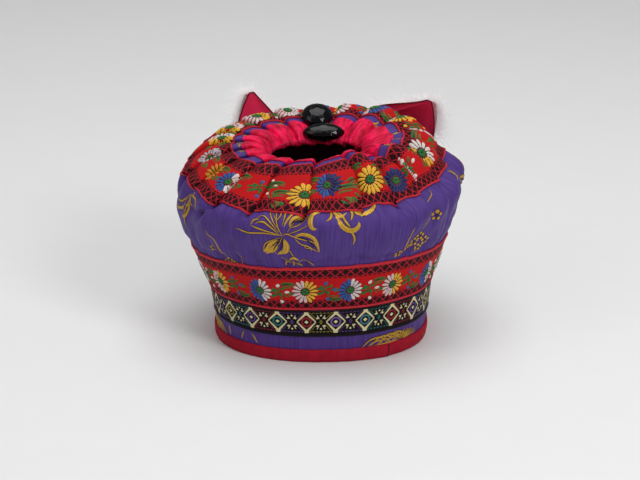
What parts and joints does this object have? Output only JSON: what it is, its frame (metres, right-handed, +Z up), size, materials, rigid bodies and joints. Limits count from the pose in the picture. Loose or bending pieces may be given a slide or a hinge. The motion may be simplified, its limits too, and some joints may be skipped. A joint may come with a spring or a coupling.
{
  "type": "tiger hat",
  "caption": "Baby's tiger hat: purple brocade crown gathered into an open top, woven ribbon bands, red rim binding, satin opening band, furred ears and black cut stones.",
  "frame": {"origin": "centre of the hat's box, on the surface that the rim rests on", "axes": "+Z up through the opening; +Y from the hat's back to its ears; +X to the right seen from the back"},
  "size_m": [0.1636, 0.1568, 0.1375],
  "materials": {
    "brocade": "purple brocade with gold motifs, soft sheen",
    "red_binding": "plain red cotton",
    "black_ribbon": "woven ribbon, black ground with cream diamonds",
    "flower_ribbon": "woven ribbon, red ground with daisies and lattice edges",
    "satin": "pink-red satin",
    "ear_cloth": "pink-red cloth",
    "fur": "white wispy fur",
    "stone": "black, faceted, glossy"
  },
  "bodies": {
    "root": {"crown": "brocade", "rim_binding": "red_binding", "diamond_band": "black_ribbon", "flower_band_lower": "flower_ribbon", "flower_band_upper": "flower_ribbon", "opening_band": "satin", "ear_left": "ear_cloth", "ear_right": "ear_cloth", "ear_fur_left": "fur", "ear_fur_right": "fur", "stone_round": "stone", "stone_oval": "stone"}
  },
  "joints": []
}
